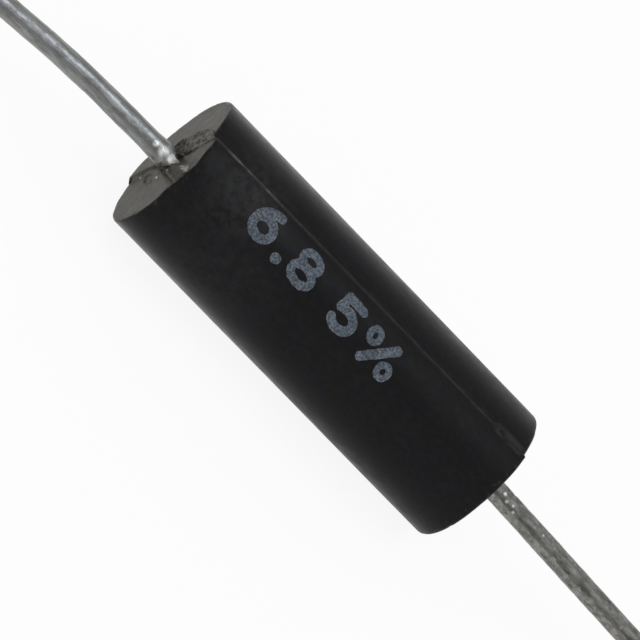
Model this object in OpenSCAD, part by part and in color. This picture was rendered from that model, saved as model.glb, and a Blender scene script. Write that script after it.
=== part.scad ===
// Axial power resistor: a black moulded barrel with a bare wire lead out of each end.
// Inside are a ceramic core, a spaced helical winding of resistance wire, and a steel cap
// pressed on each end of the core, which the winding and the lead are welded to.
// Millimetres. X runs along the barrel, +Z is up, and the origin is at the middle of the barrel.
// The part lies as it comes to rest: on its barrel, with the tips of its bent leads on the floor.

/* [Moulded body] */
// Diameter of the barrel
body_d = 5.5; // [5:0.1:7]
// Length of the barrel, measured on one mould half
body_length = 15.1; // [13:0.1:20]
// Thickness of the moulding beyond each end cap
end_wall = 1.2; // [0.9:0.1:2]
// Radius of the rim at the left end
left_rim_r = 0.1; // [0.05:0.01:0.3]
// Radius of the rim at the right end
right_rim_r = 0.15; // [0.05:0.01:0.3]
// How far one mould half printed along the barrel from the other
mould_shift = 0.115; // [0.05:0.005:0.2]
// Slope of the parting plane, which rises to the right as seen from the left end
parting_angle = 73.7; // [50:0.1:80]
// Height of the flash that stands on the parting lines
flash_height = 0.03; // [0.02:0.005:0.06]
// Width of the flash
flash_w = 0.08; // [0.05:0.01:0.15]
// Diameter of the moulding's collar where it meets the end face
collar_d = 1.5; // [1.3:0.05:2]
// Diameter of the collar at its top
collar_top_d = 1.12; // [1.05:0.01:1.25]
// Height of the collar above the end face
collar_height = 0.2; // [0.15:0.01:0.4]

/* [Ceramic core] */
// Diameter of the core
core_d = 3.2; // [2.6:0.1:3.6]
// Chamfer on both ends of the core
core_chamfer = 0.2; // [0.1:0.05:0.4]

/* [End caps] */
// Length of a cap along the core
cap_length = 3; // [2:0.1:4]
// Wall of a cap
cap_wall = 0.25; // [0.15:0.01:0.35]
// Outer corner radius of a cap's closed end
cap_corner_r = 0.2; // [0.1:0.02:0.3]

/* [Winding] */
// Diameter of the resistance wire
wire_d = 0.2; // [0.1:0.01:0.26]
// Distance from one turn to the next
winding_pitch = 0.36; // [0.32:0.01:0.6]
// Share of a turn in which the wire climbs from the core onto a cap
climb_turns = 0.4; // [0.3:0.05:0.8]
// Turns that lie on each cap
tail_turns = 1.1; // [0.6:0.1:1.8]

/* [Leads] */
// Diameter of the tinned lead wire
lead_d = 0.82; // [0.6:0.01:0.9]
// Reach of each lead beyond the barrel, measured along the barrel
lead_length = 38.1; // [30:0.1:45]
// Diameter of the weld where a lead meets its cap
weld_d = 1.3; // [1:0.05:1.8]
// Length over which the weld tapers into the lead
weld_length = 0.45; // [0.2:0.05:0.6]
// Diameter of the solder cuff on the left lead
cuff_d = 0.93; // [0.9:0.01:1.02]
// Length of the solder cuff
cuff_length = 0.9; // [0.5:0.05:1.5]

/* [Bends] */
// How far off the barrel's axis the left lead comes out, towards its bend
left_exit_offset = 0.08; // [0:0.01:0.2]
// Slope of the left lead where it comes out, in degrees
left_exit_slope = 1; // [0:0.1:2]
// Straight length of the left lead before its bend
left_straight = 3; // [1:0.1:8]
// Bend radius of the left lead
left_bend_r = 40; // [20:1:60]
// Angle of the left lead's bend
left_bend_angle = 4.7; // [4:0.1:7]
// How far off the barrel's axis the right lead comes out, away from its bend
right_exit_offset = 0.11; // [0:0.01:0.2]
// Slope of the right lead where it comes out, in degrees
right_exit_slope = 1.9; // [0:0.1:2.5]
// Straight length of the right lead before its bend
right_straight = 8; // [2:0.1:12]
// Bend radius of the right lead
right_bend_r = 90; // [40:1:120]
// How much thinner a lead's radius is in its bend
bend_thinning = 0.004; // [0.002:0.001:0.01]

/* [Clearances] */
// Gap that the moulding leaves round what it encloses
mould_gap = 0.02; // [0.01:0.005:0.04]
// Gap between the core and the wall of a cap
cap_fit = 0.01; // [0.005:0.005:0.03]
// Gap between the resistance wire and what it is wound on
wire_gap = 0.01; // [0.005:0.005:0.03]

/* [Hidden] */

body_r = body_d / 2;
body_half = body_length / 2;
lead_r = lead_d / 2;
core_r = core_d / 2;
wire_r = wire_d / 2;

// Caps and core, outwards from the middle
cap_bore_r = core_r + cap_fit;
cap_r = cap_bore_r + cap_wall;
cap_face_x = body_half - end_wall;
core_half = cap_face_x - cap_wall;
cap_rim_x = cap_face_x - cap_length;

// Winding. The path is a polygon round the core, so its corners stand out enough for its flats to clear
segments_per_turn = 20;
wire_sides = 6;
flat_factor = 1 / cos(180 / segments_per_turn);
wire_low_r = (core_r + wire_gap + wire_r) * flat_factor;
wire_high_r = (cap_r + wire_gap + wire_r) * flat_factor;
top_turn = (cap_rim_x - wire_r - wire_gap) / winding_pitch;
climb_turn = top_turn - climb_turns;
end_turn = top_turn + tail_turns;

// Hollow of the moulding, which follows the winding and the caps
winding_room_r = wire_low_r + wire_r + mould_gap;
tail_room_r = wire_high_r + wire_r + mould_gap;
cap_room_r = cap_r + mould_gap;
tail_room_in_x = climb_turn * winding_pitch - wire_r - mould_gap;
tail_room_out_x = end_turn * winding_pitch + wire_r + mould_gap;
room_half = cap_face_x + mould_gap;

// A lead in its own plane: x along the barrel, y towards the side that it bends to
function along(slope) = [cos(slope), sin(slope)];
function across(slope) = [-sin(slope), cos(slope)];
function bend_start(offset, slope, straight) = [body_half, offset] + straight * along(slope);
function bend_centre(offset, slope, straight, r) = bend_start(offset, slope, straight) + r * across(slope);
function bend_end(offset, slope, straight, r, last) =
    bend_centre(offset, slope, straight, r) - r * across(last);

tip_x = body_half + lead_length;
left_last_slope = left_exit_slope + left_bend_angle;
left_bend_end = bend_end(left_exit_offset, left_exit_slope, left_straight, left_bend_r, left_last_slope);
tip_offset = left_bend_end.y + (tip_x - left_bend_end.x) * tan(left_last_slope);

// The right lead's last slope is the one that brings its tip as far off the axis as the left one
right_centre = bend_centre(-right_exit_offset, right_exit_slope, right_straight, right_bend_r);
tip_from_centre = [tip_x, tip_offset] - right_centre;
right_last_slope = atan2(tip_from_centre.x, -tip_from_centre.y) - acos(right_bend_r / norm(tip_from_centre));

// The leads' plane is turned about the barrel until both tips touch what the barrel lies on
droop_share = min(1, (body_r - lead_r) / tip_offset);
lead_plane_angle = 180 + asin(droop_share);

// How far a cut or a root reaches past the face that it starts from
overcut = 0.5;
bend_root = 0.2;

module along_x() rotate([0, 90, 0]) children();

module in_lead_plane(side) mirror([side < 0 ? 1 : 0, 0, 0]) rotate([lead_plane_angle, 0, 0]) children();

// Turns what is drawn up Z from the origin so that it lies along a lead, starting at its exit
module at_exit(offset, slope) translate([body_half, offset, 0]) rotate([0, 0, slope]) along_x() children();

// Half outline of the barrel for a revolve, with a round rim at each end
module barrel_outline() {
    translate([0, -body_half + left_rim_r]) square([body_r, body_length - left_rim_r - right_rim_r]);
    translate([0, -body_half]) square([body_r - left_rim_r, body_length / 2]);
    translate([0, 0]) square([body_r - right_rim_r, body_length / 2]);
    intersection() {
        translate([body_r - left_rim_r, -body_half + left_rim_r]) circle(left_rim_r, $fn = 32);
        translate([0, -body_half]) square([body_r, body_half]);
    }
    intersection() {
        translate([body_r - right_rim_r, body_half - right_rim_r]) circle(right_rim_r, $fn = 32);
        square([body_r, body_half]);
    }
}

// Turns what is drawn flat about the XY plane so that the XY plane becomes the parting plane
module at_parting() rotate([180 - parting_angle, 0, 0]) children();

// One half of the moulding: 1 for the front and lower half, -1 for the rear and upper one. The
// halves share the width of the flash
module mould_half(side) {
    translate([side * mould_shift / 2, 0, 0]) intersection() {
        along_x() rotate_extrude($fn = 96) barrel_outline();
        at_parting() mirror([0, 0, side < 0 ? 1 : 0])
            translate([-body_length, -body_d, -flash_w / 2]) cube([2 * body_length, 2 * body_d, body_d]);
    }
}

// Flash along both parting lines
module flash() {
    flash_length = body_length - mould_shift - 2 * max(left_rim_r, right_rim_r);
    at_parting() cube([flash_length, body_d + 2 * flash_height, flash_w], center = true);
}

// Collar that the moulding forms round a lead, rooted in the barrel
module collar(offset, slope) {
    root = mould_shift + overcut;
    at_exit(offset, slope) {
        translate([0, 0, -root]) cylinder(h = root, d = collar_d, $fn = 64);
        cylinder(h = collar_height, d1 = collar_d, d2 = collar_top_d, $fn = 64);
    }
}

// Room for the core, the winding and the caps
module room() {
    along_x() rotate_extrude($fn = 96) polygon([
        [0, -room_half],
        [cap_room_r, -room_half],
        [cap_room_r, -tail_room_out_x],
        [tail_room_r, -tail_room_out_x],
        [tail_room_r, -tail_room_in_x],
        [winding_room_r, -tail_room_in_x],
        [winding_room_r, tail_room_in_x],
        [tail_room_r, tail_room_in_x],
        [tail_room_r, tail_room_out_x],
        [cap_room_r, tail_room_out_x],
        [cap_room_r, room_half],
        [0, room_half]
    ]);
}

// The weld that joins a lead to its cap, swollen by a gap where the moulding makes room for it
module weld(offset, slope, gap) {
    at_exit(offset, slope) {
        translate([0, 0, -end_wall - overcut]) cylinder(h = overcut, d = weld_d + 2 * gap, $fn = 64);
        translate([0, 0, -end_wall])
            cylinder(h = weld_length + gap, d1 = weld_d + 2 * gap, d2 = lead_d + 2 * gap, $fn = 64);
    }
}

// The way that a lead takes through the end wall
module lead_passage(offset, slope) {
    at_exit(offset, slope) translate([0, 0, -end_wall - overcut])
        cylinder(h = end_wall + collar_height + 2 * overcut, r = lead_r + mould_gap, $fn = 64);
    weld(offset, slope, mould_gap);
}

module moulded_body() {
    color([0.11, 0.11, 0.12]) difference() {
        union() {
            mould_half(-1);
            mould_half(1);
            flash();
            in_lead_plane(-1) collar(left_exit_offset, left_exit_slope);
            in_lead_plane(1) collar(-right_exit_offset, right_exit_slope);
        }
        room();
        in_lead_plane(-1) lead_passage(left_exit_offset, left_exit_slope);
        in_lead_plane(1) lead_passage(-right_exit_offset, right_exit_slope);
    }
}

module ceramic_core() {
    straight = core_half - core_chamfer;
    color([0.9, 0.88, 0.82]) along_x() rotate_extrude($fn = 96) polygon([
        [0, -core_half],
        [core_r - core_chamfer, -core_half],
        [core_r, -straight],
        [core_r, straight],
        [core_r - core_chamfer, core_half],
        [0, core_half]
    ]);
}

// A drawn cup, open towards the middle of the core
module end_cap(side) {
    color([0.72, 0.72, 0.7]) mirror([side < 0 ? 1 : 0, 0, 0]) along_x() difference() {
        rotate_extrude($fn = 96) {
            translate([0, cap_rim_x]) square([cap_r, cap_length - cap_corner_r]);
            translate([0, cap_rim_x]) square([cap_r - cap_corner_r, cap_length]);
            intersection() {
                translate([cap_r - cap_corner_r, cap_face_x - cap_corner_r]) circle(cap_corner_r, $fn = 32);
                translate([0, cap_rim_x]) square([cap_r, cap_length]);
            }
        }
        translate([0, 0, cap_rim_x - overcut])
            cylinder(h = cap_length - cap_wall + overcut, r = cap_bore_r, $fn = 96);
    }
}

// Height of the wire's middle above the axis, after a signed number of turns from the middle
function wire_climb(turn) = min(1, max(0, (abs(turn) - climb_turn) / climb_turns));
function ease(share) = share * share * (3 - 2 * share);
function wire_path_r(turn) = wire_low_r + (wire_high_r - wire_low_r) * ease(wire_climb(turn));
function wire_point(turn, lift, side) =
    let (r = wire_path_r(turn) + lift)
    [turn * winding_pitch + side, r * cos(360 * turn), r * sin(360 * turn)];

module resistance_wire() {
    rings = round(2 * end_turn * segments_per_turn);
    points = [
        for (i = [0:rings])
            let (turn = end_turn * (2 * i / rings - 1))
            for (j = [0:wire_sides - 1])
                let (a = 360 * j / wire_sides)
                wire_point(turn, wire_r * cos(a), wire_r * sin(a))
    ];
    first = [for (j = [0:wire_sides - 1]) j];
    last = [for (j = [wire_sides - 1:-1:0]) rings * wire_sides + j];
    sides = [
        for (i = [0:rings - 1], j = [0:wire_sides - 1])
            let (a = i * wire_sides + j, b = i * wire_sides + (j + 1) % wire_sides)
            [a, a + wire_sides, b + wire_sides, b]
    ];
    color([0.62, 0.6, 0.56]) polyhedron(points, concat([first], sides, [last]), convexity = 10);
}

// A lead from its cap to its tip: straight, one round bend, and straight again. The bend is drawn
// a trace thinner than the straights and is rooted in them
module lead_wire(offset, slope, straight, r, last_slope) {
    centre = bend_centre(offset, slope, straight, r);
    end = bend_end(offset, slope, straight, r, last_slope);
    last_length = (tip_x - end.x) / cos(last_slope);
    root_angle = atan(bend_root / r);
    difference() {
        union() {
            at_exit(offset, slope) translate([0, 0, -end_wall - overcut])
                cylinder(h = end_wall + overcut + straight, r = lead_r, $fn = 48);
            translate([centre.x, centre.y, 0]) rotate([0, 0, slope - 90 - root_angle])
                rotate_extrude(angle = last_slope - slope + 2 * root_angle, start = 0, $fn = 720)
                    translate([r, 0]) circle(lead_r - bend_thinning, $fn = 48);
            translate([end.x, end.y, 0]) rotate([0, 0, last_slope]) along_x()
                cylinder(h = last_length, r = lead_r, $fn = 48);
            weld(offset, slope, 0);
        }
        translate([cap_face_x - body_length, -body_r, -body_r])
            cube([body_length, body_d, body_d]);
    }
}

module left_lead() {
    cuff_start = collar_height + mould_gap;
    cuff_taper = cuff_length / 3;
    color([0.74, 0.75, 0.75]) in_lead_plane(-1) {
        lead_wire(left_exit_offset, left_exit_slope, left_straight, left_bend_r, left_last_slope);
        at_exit(left_exit_offset, left_exit_slope) translate([0, 0, cuff_start]) {
            cylinder(h = cuff_length - cuff_taper, d = cuff_d, $fn = 64);
            translate([0, 0, cuff_length - cuff_taper])
                cylinder(h = cuff_taper, d1 = cuff_d, d2 = lead_d, $fn = 64);
        }
    }
}

module right_lead() {
    color([0.6, 0.6, 0.59]) in_lead_plane(1)
        lead_wire(-right_exit_offset, right_exit_slope, right_straight, right_bend_r, right_last_slope);
}

moulded_body();
ceramic_core();
resistance_wire();
end_cap(-1);  // left_end_cap
end_cap(1);  // right_end_cap
left_lead();
right_lead();
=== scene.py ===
"""Looks of a moulded axial resistor: the black moulding, its two tinned wires and its printed value.

Lengths are millimetres until a mesh is made, which turns them into metres. X runs along the barrel,
and an angle round the barrel starts at -Y and rises towards +Z. The shown side is the one with
the printed value. What is kept by end has -1 for the left one and 1 for the right one.
"""

import math

import bpy
import numpy as np
from mathutils import Matrix, Vector


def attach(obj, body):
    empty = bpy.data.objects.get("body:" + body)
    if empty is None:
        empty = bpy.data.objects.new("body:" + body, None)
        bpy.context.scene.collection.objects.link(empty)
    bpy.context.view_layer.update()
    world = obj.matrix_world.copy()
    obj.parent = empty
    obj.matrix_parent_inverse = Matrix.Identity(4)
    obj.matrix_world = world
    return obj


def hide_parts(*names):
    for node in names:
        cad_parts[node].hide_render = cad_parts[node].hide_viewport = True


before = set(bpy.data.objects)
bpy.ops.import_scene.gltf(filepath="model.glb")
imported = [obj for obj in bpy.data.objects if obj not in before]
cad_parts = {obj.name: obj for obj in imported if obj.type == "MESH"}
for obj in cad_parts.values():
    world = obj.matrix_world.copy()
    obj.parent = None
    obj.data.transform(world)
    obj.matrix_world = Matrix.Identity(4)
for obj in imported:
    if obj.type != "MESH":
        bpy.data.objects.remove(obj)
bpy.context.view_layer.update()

MM = 0.001

# Sizes of the solids, as the part's source has them
BODY_R = 2.75
BODY_HALF = 7.55
END_WALL = 1.2
RIM_R = {-1: 0.1, 1: 0.15}
MOULD_SHIFT = 0.115
PARTING_ANGLE = 73.7
FLASH_HEIGHT = 0.03
COLLAR_R = 0.75
COLLAR_TOP_R = 0.56
COLLAR_HEIGHT = 0.2
CORE_R = 1.6
CAP_R = 1.86
WIRE_D = 0.2
TAIL_ROOM_IN = 3.0
TAIL_ROOM_OUT = 3.74
MOULD_GAP = 0.02
LEAD_R = 0.41
LEAD_LENGTH = 38.1
WELD_R = 0.65
WELD_LENGTH = 0.45
CUFF_R = 0.465
CUFF_LENGTH = 0.9
TIP_X = BODY_HALF + LEAD_LENGTH

# Each lead: how far off the axis it comes out, its slope there, its straight, its bend radius and last slope
LEADS = {
    -1: {"offset": 0.08, "slope": 1.0, "straight": 3.0, "bend_r": 40.0, "last": 5.7},
    1: {"offset": -0.11, "slope": 1.9, "straight": 8.0, "bend_r": 90.0, "last": 7.0206},
}

# How much of the collar round each lead still stands: it has broken away at the left end
COLLAR_LEFT = {-1: 0.02, 1: COLLAR_HEIGHT}

# In degrees from the parting line: the crest of the flash, its worn strip, and the lip of its break
FLASH_CREST = -0.95
FLASH_WORN = (-1.9, -0.05)
BREAK_LIP = (0.45, 1.75)

# Dusty places on the barrel; the top one also carries a painted sheen
DUST_AND_SHEEN_TOP = (-5.5, -1.46, 2.33)
HAZE_LOW = (-4.4, -2.75, -0.1)

# Painted shade in a pit and painted light on the web, on the left end face: across it, up it, and an inner
# and outer radius
PIT_SHADE_PLACES = [(-0.98, 0.2, 0.1, 0.3), (-0.94, 0.55, 0.1, 0.3)]
WEB_LIGHT_PLACES = [(-0.15, -0.8, 0.1, 0.5), (-0.12, -1.5, 0.1, 0.5)]

# Solder smeared on the left end face, painted pale as its highlight: places across it, down it, and the
# smear's half width at each
SOLDER_SMEAR_HIGHLIGHT = ([0.13, 0.15, 0.14, 0.16], [1.3, 1.75, 2.15, 2.5], [0.07, 0.15, 0.17, 0.12])

# Drops of solder on the left end face: across, up, half width, half length and height of each
SOLDER_DROPS = [
    (-1.14, 1.3, 0.05, 0.07, 0.06),
    (-0.74, -0.5, 0.045, 0.07, 0.06),
    (-0.32, -0.72, 0.035, 0.05, 0.04),
]

# The far edge of the torn hollow: places across the left end face, and how far up it reaches there
TORN_EDGE = (
    [0.3, 0.5, 0.75, 0.92, 1.33, 1.54, 1.65, 1.8],
    [0.85, 0.85, 0.68, 0.3, -0.14, -0.72, -1.5, -2.6],
)

# How far up the left lead the dark torn-moulding finish is painted, at turns round it from the shown side
CLIMB = ([10.0, 16.0, 28.0, 60.0, 90.0, 125.0, 150.0], [-0.1, -0.04, 0.08, 0.25, 0.34, 0.3, -0.1])

# How finely the meshes are cut
FACE_RINGS = {-1: 64, 1: 34}
BARREL_RINGS = 78
RIM_STEPS = 6
COLLAR_STEPS = 6
LEAD_SEGMENTS = 72
DROP_STEPS = 10
DROP_SEGMENTS = 20
INK_CELL = 0.026

# How far in from each end the marks of its face reach along the barrel
END_ZONE = 0.2

# Slots of the moulding's materials after its first one
END_FACE = 1
FLASH = 2
TORN = 3

# The printed value: half width and height of its strokes, where it starts, its slope and its ink
STROKE_R = 0.165
GLYPH_HEIGHT = 1.07
GLYPH_GAP = 0.56
PRINT_START_X = -4.87
PRINT_TURN = 6.0
PRINT_SLOPE = -0.056
INK_HEIGHT = 0.01
INK_SINK = 0.012

# The middle of the shown side, and how far the camera turns from it towards the left end
SHOWN_ANGLE = 38.0
END_TURN = 14.7

# The picture: the barrel's slope in it, its side, its scale, the focal length and the barrel's middle
AXIS_IN_PICTURE = 45.8
PICTURE_SIDE_PX = 640
PX_PER_MM = 29.96
FOCAL_PX = 6650
BODY_CENTRE_PX = (325.9, 319.4)
SENSOR_MM = 36.0


# Directions


def around(angle):
    """Unit vectors square to the barrel at angles in degrees."""
    a = np.radians(angle)
    return np.stack([np.zeros_like(a), -np.cos(a), np.sin(a)], axis=-1)


ALONG = (1.0, 0.0, 0.0)
SHOWN = around(SHOWN_ANGLE)
ACROSS = around(SHOWN_ANGLE + 90.0)
PARTING = math.radians(PARTING_ANGLE)
PARTING_NORMAL = np.array([0.0, -math.sin(PARTING), -math.cos(PARTING)])


def face_place(points):
    """Places on an end face: across it from the middle of the shown side, and up it, away from that side."""
    return points @ ACROSS, -(points @ SHOWN)


def on_left_face(across, up):
    """The point of the left end face at such a place."""
    place = across * ACROSS - up * SHOWN
    place[0] = -BODY_HALF
    return place


def turn_from_shown(directions):
    """Turn of each direction round the barrel from the middle of the shown side, in degrees."""
    return np.degrees(np.arctan2(directions @ ACROSS, directions @ SHOWN))


# Easing and noise


def smooth(x, low, high):
    """0 below low, 1 above high, eased between."""
    t = np.clip((x - low) / (high - low), 0.0, 1.0)
    return t * t * (3.0 - 2.0 * t)


def bump_at(x, centre, width):
    """A round hump of height 1 at centre."""
    return np.exp(-(((x - centre) / width) ** 2))


def lattice(cells, seed):
    """A repeatable number from -1 to 1 for each cell. The large numbers only mix its bits."""
    n = cells[..., 0] * 374761393 + cells[..., 1] * 668265263 + cells[..., 2] * 2147483647 + seed * 974634777
    n = (n ^ (n >> 13)) * 1274126177
    n = (n ^ (n >> 16)) & 0xFFFFFF
    return n / float(0x7FFFFF) - 1.0


def noise(points, size, seed=0):
    """Smooth noise from -1 to 1 whose lumps are about size across."""
    p = np.asarray(points, float) / size
    base = np.floor(p).astype(np.int64)
    f = p - base
    f = f * f * (3.0 - 2.0 * f)
    total = 0.0
    for dx in (0, 1):
        for dy in (0, 1):
            for dz in (0, 1):
                corner = lattice(base + np.array([dx, dy, dz]), seed)
                share = (f[..., 0] if dx else 1 - f[..., 0]) * (f[..., 1] if dy else 1 - f[..., 1])
                total = total + corner * share * (f[..., 2] if dz else 1 - f[..., 2])
    return total


def rough(points, size, seed):
    """Noise with two finer layers of noise on top of it."""
    total = 0.0
    for k in range(3):
        total = total + noise(points, size / 2**k, seed + 31 * k) / 2**k
    return total / 2.0


# Meshes


def make_mesh(name, points, faces, material, sharp_angle=None):
    """A smooth-shaded piece from points in millimetres."""
    mesh = bpy.data.meshes.new(name)
    mesh.from_pydata((np.asarray(points).reshape(-1, 3) * MM).tolist(), [], faces)
    mesh.validate()
    mesh.shade_smooth()
    if sharp_angle is not None:
        mesh.set_sharp_from_angle(angle=math.radians(sharp_angle))
    mesh.materials.append(material)
    piece = bpy.data.objects.new(name, mesh)
    bpy.context.scene.collection.objects.link(piece)
    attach(piece, "root")
    return piece


def grid_faces(rows, columns, closed_rows=False):
    """Quads of a grid of points that closes on itself along its columns."""
    faces = []
    for j in range(rows if closed_rows else rows - 1):
        a = j * columns
        b = (j + 1) % rows * columns
        for i in range(columns):
            k = (i + 1) % columns
            faces.append((a + i, a + k, b + k, b + i))
    return faces


# Materials


class Nodes:
    """Short calls for building a material's node tree."""

    # Sockets of a colour mix: the two colours and the result
    MIX_A, MIX_B, MIX_OUT = 6, 7, 2

    def __init__(self, name):
        self.material = bpy.data.materials.new(name)
        self.material.use_nodes = True
        self.tree = self.material.node_tree
        self.shader = self.tree.nodes["Principled BSDF"]
        self.coords = self.add("ShaderNodeTexCoord").outputs["Object"]

    def add(self, kind, *values, **settings):
        """A new node, with its first sockets fed."""
        node = self.tree.nodes.new(kind)
        for key, value in settings.items():
            setattr(node, key, value)
        for socket, value in zip(node.inputs, values):
            self.feed(socket, value)
        return node

    def feed(self, socket, value):
        """Link an output to a socket, or set the socket to a number, a colour or a vector."""
        if isinstance(value, bpy.types.NodeSocket):
            self.tree.links.new(value, socket)
        elif socket.type == "RGBA":
            socket.default_value = (*value, 1.0)
        else:
            socket.default_value = value

    def noise_node(self, per_mm, detail, roughness):
        """Noise with so many cells per millimetre: one number, or one each for X, Y and Z."""
        mapping = self.add("ShaderNodeMapping", self.coords)
        self.feed(mapping.inputs["Scale"], [v / MM for v in np.broadcast_to(per_mm, 3).tolist()])
        node = self.add("ShaderNodeTexNoise", mapping.outputs["Vector"])
        self.feed(node.inputs["Scale"], 1.0)
        self.feed(node.inputs["Detail"], detail)
        self.feed(node.inputs["Roughness"], roughness)
        return node

    def noise(self, per_mm, detail=3.0, roughness=0.55):
        return self.noise_node(per_mm, detail, roughness).outputs["Fac"]

    def ragged(self, per_mm, push_mm):
        """The object's coordinates pushed about by noise, for ragged outlines."""
        push = self.noise_node(per_mm, 4.0, 0.5).outputs["Color"]
        centred = self.vector_maths("SUBTRACT", push, (0.5, 0.5, 0.5)).outputs["Vector"]
        return self.vector_maths("MULTIPLY_ADD", centred, [push_mm * MM] * 3, self.coords).outputs["Vector"]

    def ramp(self, source, low, high, to_low=0.0, to_high=1.0):
        """The source, eased from one value at low to another at high."""
        values = (source, low, high, to_low, to_high)
        return self.add("ShaderNodeMapRange", *values, interpolation_type="SMOOTHSTEP").outputs["Result"]

    def ramp_mm(self, source, low, high, to_low=0.0, to_high=1.0):
        """The same for a length, with low and high in millimetres."""
        return self.ramp(source, low * MM, high * MM, to_low, to_high)

    def maths(self, operation, *values):
        return self.add("ShaderNodeMath", *values, operation=operation).outputs["Value"]

    def vector_maths(self, operation, *values):
        return self.add("ShaderNodeVectorMath", *values, operation=operation)

    def towards(self, vector, direction):
        """How far a vector of the tree points in a direction."""
        return self.vector_maths("DOT_PRODUCT", vector, [float(v) for v in direction]).outputs["Value"]

    def near_point(self, place_mm, inner_mm, outer_mm, coords=None):
        """1 within one distance of a place, 0 beyond another."""
        node = self.vector_maths("DISTANCE", coords or self.coords, [v * MM for v in place_mm])
        return self.ramp_mm(node.outputs["Value"], inner_mm, outer_mm, 1.0, 0.0)

    def mix(self, share, a, b):
        """Colour a where the share is 0 and colour b where it is 1."""
        node = self.add("ShaderNodeMix", share, data_type="RGBA")
        self.feed(node.inputs[self.MIX_A], a)
        self.feed(node.inputs[self.MIX_B], b)
        return node.outputs[self.MIX_OUT]

    def cover(self, colour, over, *shares):
        """A colour with another over it, by the product of some shares."""
        product = shares[0]
        for share in shares[1:]:
            product = self.maths("MULTIPLY", product, share)
        return self.mix(product, colour, over)

    def bump(self, height, distance_mm, strength, below=None):
        """The surface's normal, or another normal, with a height on it."""
        node = self.add("ShaderNodeBump")
        self.feed(node.inputs["Strength"], strength)
        self.feed(node.inputs["Distance"], distance_mm * MM)
        self.feed(node.inputs["Height"], height)
        if below is not None:
            self.feed(node.inputs["Normal"], below)
        return node.outputs["Normal"]

    def set(self, **values):
        """Feed the shader's sockets, with _ for each space in a name."""
        for key, value in values.items():
            self.feed(self.shader.inputs[key.replace("_", " ")], value)


def moulding_material():
    """Black moulding: bluish and brownish patches, dust and a painted sheen near the left end, scuffs by the
    seam, worn rims.
    """
    n = Nodes("black_moulding")
    along = n.towards(n.coords, ALONG)
    from_seam = n.maths("ABSOLUTE", n.towards(n.coords, PARTING_NORMAL))
    patches = n.ramp(n.noise((0.9, 1.6, 1.6), 4.0, 0.6), 0.4, 0.62)
    colour = n.mix(patches, (0.0062, 0.006, 0.0053), (0.0058, 0.0059, 0.0086))
    specks = n.ramp(n.noise((3.6, 5.5, 5.5), 5.0, 0.7), 0.38, 0.7, 0.0, 0.8)
    colour = n.cover(colour, (0.0098, 0.0096, 0.0102), specks)
    # Dust, and a painted sheen in the top patch
    uneven = n.ramp(n.noise(2.4, 6.0, 0.78), 0.32, 0.66)
    low_haze = n.maths("MULTIPLY", n.near_point(HAZE_LOW, 0.6, 3.4), 0.4)
    dust_and_sheen = n.maths("MAXIMUM", n.near_point(DUST_AND_SHEEN_TOP, 0.4, 2.4), low_haze)
    colour = n.cover(colour, (0.023, 0.0232, 0.0244), dust_and_sheen, uneven)
    # Scuffs by the seam
    by_seam = n.ramp_mm(from_seam, 0.04, 0.3, 1.0, 0.0)
    scuffs = n.ramp(n.noise((1.6, 5.0, 5.0), 5.0, 0.7), 0.42, 0.7)
    colour = n.cover(colour, (0.015, 0.014, 0.0138), by_seam, scuffs)
    # Bared moulding beside the break in the flash
    past_start = n.ramp_mm(along, 6.0, 6.3)
    before_end = n.ramp_mm(along, 7.3, 7.5, 1.0, 0.0)
    beside = n.ramp_mm(from_seam, 0.1, 0.26, 1.0, 0.0)
    flakes = n.ramp(n.noise((3.0, 4.0, 4.0), 4.0, 0.7), 0.3, 0.55)
    colour = n.cover(colour, (0.029, 0.028, 0.027), past_start, before_end, beside, flakes)
    # Worn rims
    rim = n.ramp_mm(n.maths("ABSOLUTE", along), 7.25, 7.5)
    chips = n.ramp(n.noise(4.0, 5.0, 0.75), 0.52, 0.66)
    colour = n.cover(colour, (0.027, 0.0262, 0.025), rim, chips)
    # Gloss, duller towards the right end
    mottle = n.noise((1.6, 2.4, 2.4), 4.0, 0.6)
    duller = n.ramp_mm(along, -5.0, 3.0, 0.0, 0.1)
    fine = n.bump(n.noise(14.0, 4.0, 0.65), 0.004, 0.4)
    n.set(Base_Color=colour, Roughness=n.maths("ADD", n.ramp(mottle, 0.35, 0.65, 0.22, 0.32), duller))
    n.set(Normal=n.bump(mottle, 0.012, 0.5, fine), IOR=1.18)
    return n.material


def flash_material():
    """The worn edge of the flash, palest a little in from the left end and faded on both sides of that."""
    n = Nodes("moulding_flash")
    along = n.towards(n.coords, ALONG)
    faded_right = n.ramp_mm(along, -6.5, -2.5, 0.0, 0.85)
    faded_left = n.ramp_mm(along, -7.4, -6.6, 0.65, 0.0)
    gaps = n.ramp(n.noise((2.6, 0.8, 0.8), 5.0, 0.75), 0.36, 0.62)
    worn = n.mix(gaps, (0.104, 0.1, 0.095), (0.04, 0.038, 0.036))
    faded = n.maths("MAXIMUM", faded_right, faded_left)
    n.set(Base_Color=n.cover(worn, (0.0102, 0.0102, 0.0108), faded), Roughness=0.55, IOR=1.2)
    n.set(Normal=n.bump(n.noise(9.0), 0.006, 0.5))
    return n.material


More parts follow.
